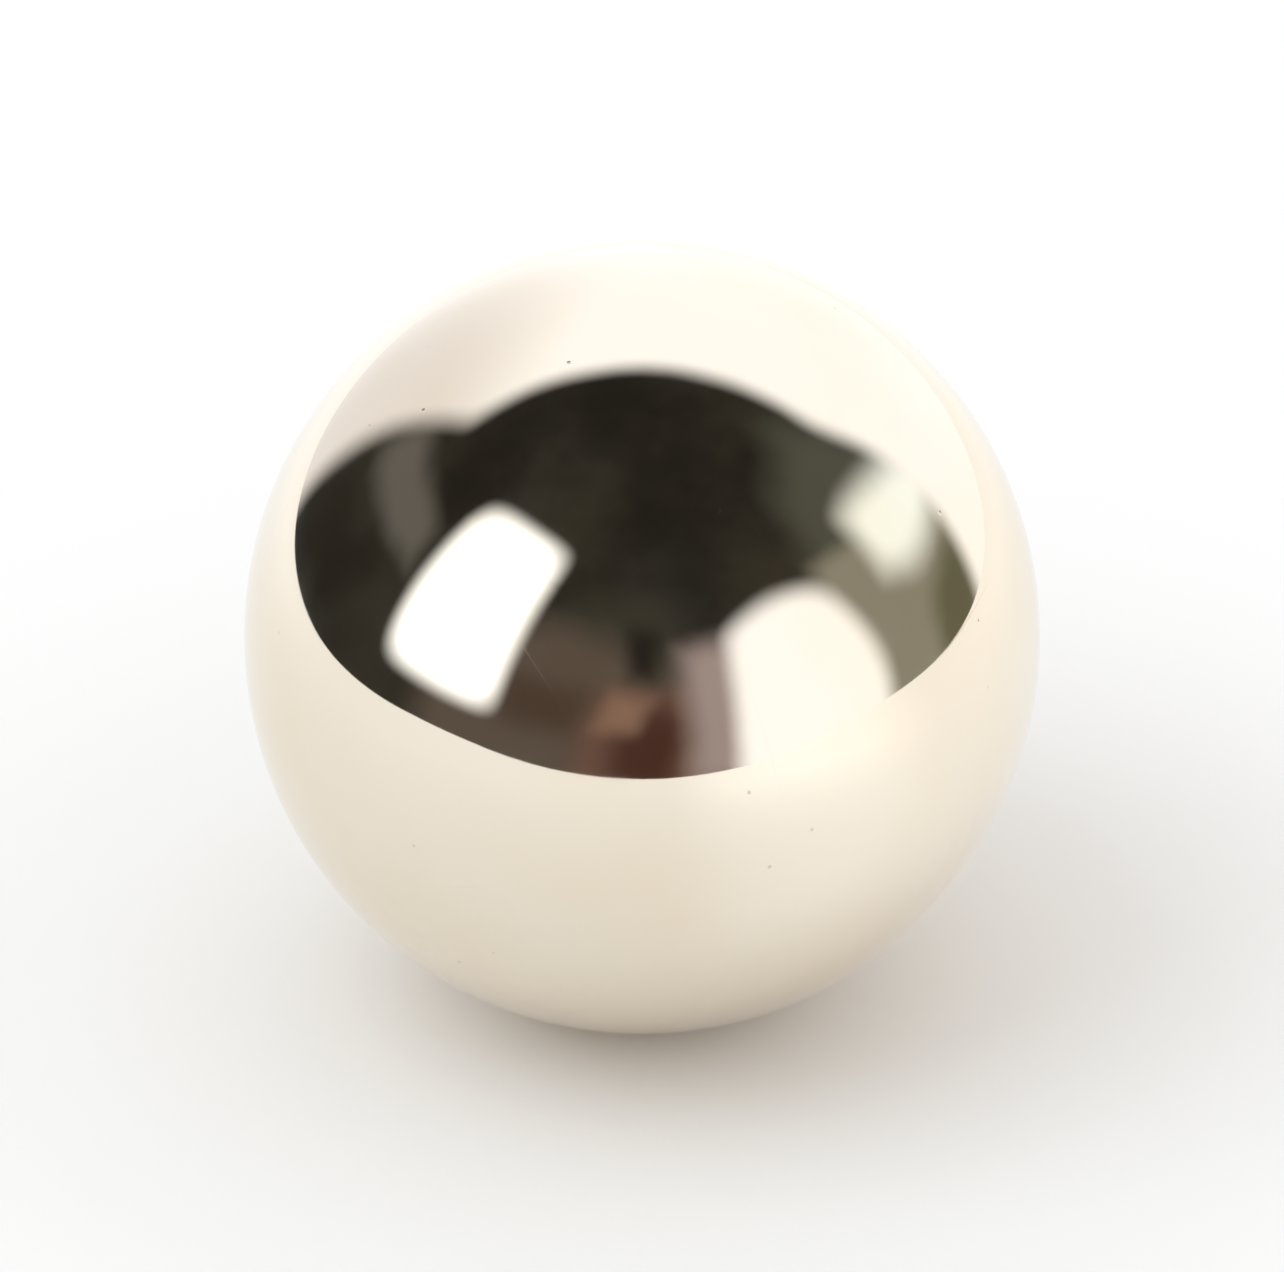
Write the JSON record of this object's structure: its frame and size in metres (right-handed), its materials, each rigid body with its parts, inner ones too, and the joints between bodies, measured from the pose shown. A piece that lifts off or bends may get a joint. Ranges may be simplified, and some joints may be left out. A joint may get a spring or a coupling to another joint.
{
  "type": "sphere magnet",
  "caption": "Small ball of neodymium magnet, ground to a true sphere and mirror-bright with nickel plating, magnetised through its diameter.",
  "frame": {"origin": "centre of the ball", "axes": "+Z along the magnetic axis, towards the north pole; X and Y are free, because the ball is the same all round that axis"},
  "size_m": [0.005, 0.005, 0.005],
  "materials": {
    "nickel_plating": "polished"
  },
  "bodies": {
    "root": {"magnet_ball": "nickel_plating"}
  },
  "joints": []
}
